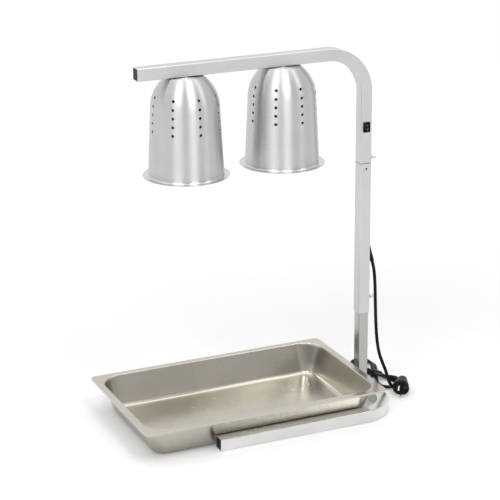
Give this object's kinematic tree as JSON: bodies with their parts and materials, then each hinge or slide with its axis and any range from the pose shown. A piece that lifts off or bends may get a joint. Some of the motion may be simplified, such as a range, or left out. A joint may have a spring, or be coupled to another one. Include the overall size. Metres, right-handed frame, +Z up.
{
  "type": "food heat lamp",
  "caption": "Counter-top food heat lamp: perforated shades on a telescopic square-tube arm over a stainless food pan, with a rocker switch and corded plug.",
  "frame": {"origin": "on the counter, under the axis of the post", "axes": "+Z up, +X from the pan towards the cord side, +Y from the front to the back"},
  "size_m": [0.6517, 0.327, 0.7523],
  "materials": {
    "base_steel": "bright polished stainless tube",
    "arm_steel": "satin brushed stainless tube",
    "fastener_steel": "plain bright steel",
    "pan_steel": "satin pressed stainless, warm reflections",
    "shade_aluminium": "spun and brushed aluminium",
    "black_plastic": "moulded black nylon",
    "black_rubber": "black rubber sheath, satin",
    "contact_brass": "bright drawn brass",
    "porcelain": null,
    "bulb_glass": "clear blown glass",
    "bulb_wire": "glass stem with a wire filament",
    "lead_sheath": "white heat-proof sheath"
  },
  "bodies": {
    "base": {"base_tube": "base_steel", "base_plug_front": "black_plastic", "base_plug_rear": "black_plastic", "lower_post": "base_steel", "post_welds": "base_steel", "cord_drop": "black_rubber", "cord_hank": "black_rubber", "cord_tail": "black_rubber", "cord_tie": "black_rubber", "plug_body": "black_rubber", "plug_pins": "contact_brass", "plug_earth": "contact_brass"},
    "pan": {"food_pan": "pan_steel"},
    "middle": {"middle_post": "arm_steel", "spigot": "arm_steel", "spigot_rivet": "fastener_steel", "lower_clamp_nut": "fastener_steel", "strain_relief": "black_rubber", "supply_lead": "lead_sheath"},
    "lower_screw": {"lower_thumb_screw": "fastener_steel"},
    "arm": {"arm_tube": "arm_steel", "arm_end_plug": "black_plastic", "upper_clamp_nut": "fastener_steel", "switch_body": "black_plastic", "switch_blades": "contact_brass", "lamp_lead": "lead_sheath", "shade_left": "shade_aluminium", "shade_spacer_left": "shade_aluminium", "lamp_nipple_left": "fastener_steel", "arm_nut_left": "fastener_steel", "lamp_holder_left": "porcelain", "holder_shell_left": "contact_brass", "holder_contact_left": "contact_brass", "bulb_cap_left": "contact_brass", "bulb_glass_left": "bulb_glass", "bulb_mount_left": "bulb_wire", "shade_right": "shade_aluminium", "shade_spacer_right": "shade_aluminium", "lamp_nipple_right": "fastener_steel", "arm_nut_right": "fastener_steel", "lamp_holder_right": "porcelain", "holder_shell_right": "contact_brass", "holder_contact_right": "contact_brass", "bulb_cap_right": "contact_brass", "bulb_glass_right": "bulb_glass", "bulb_mount_right": "bulb_wire"},
    "upper_screw": {"upper_thumb_screw": "fastener_steel"},
    "rocker": {"switch_rocker": "black_plastic"}
  },
  "joints": [
    {"name": "height_slide", "type": "slide", "parent": "base", "child": "middle", "axis": [0, 0, 1], "range_m": [-0.045, 0.045], "deforming": ["cord_drop"]},
    {"name": "arm_slide", "type": "slide", "parent": "middle", "child": "arm", "axis": [0, 0, 1], "range_m": [0, 0.035], "deforming": ["supply_lead"]},
    {"name": "lower_screw_turn", "type": "hinge", "parent": "middle", "child": "lower_screw", "pos_m": [0.0125, 0, 0.21], "axis": [1, 0, 0], "range_deg": [0, 360]},
    {"name": "upper_screw_turn", "type": "hinge", "parent": "arm", "child": "upper_screw", "pos_m": [0.0125, 0, 0.515], "axis": [1, 0, 0], "range_deg": [0, 360]},
    {"name": "rocker_tilt", "type": "hinge", "parent": "arm", "child": "rocker", "pos_m": [0, -0.0095, 0.5827], "axis": [1, 0, 0], "range_deg": [0, 18]},
    {"name": "pan_lift", "type": "slide", "parent": "base", "child": "pan", "axis": [0, 0, 1], "range_m": [0, 0.12]}
  ]
}
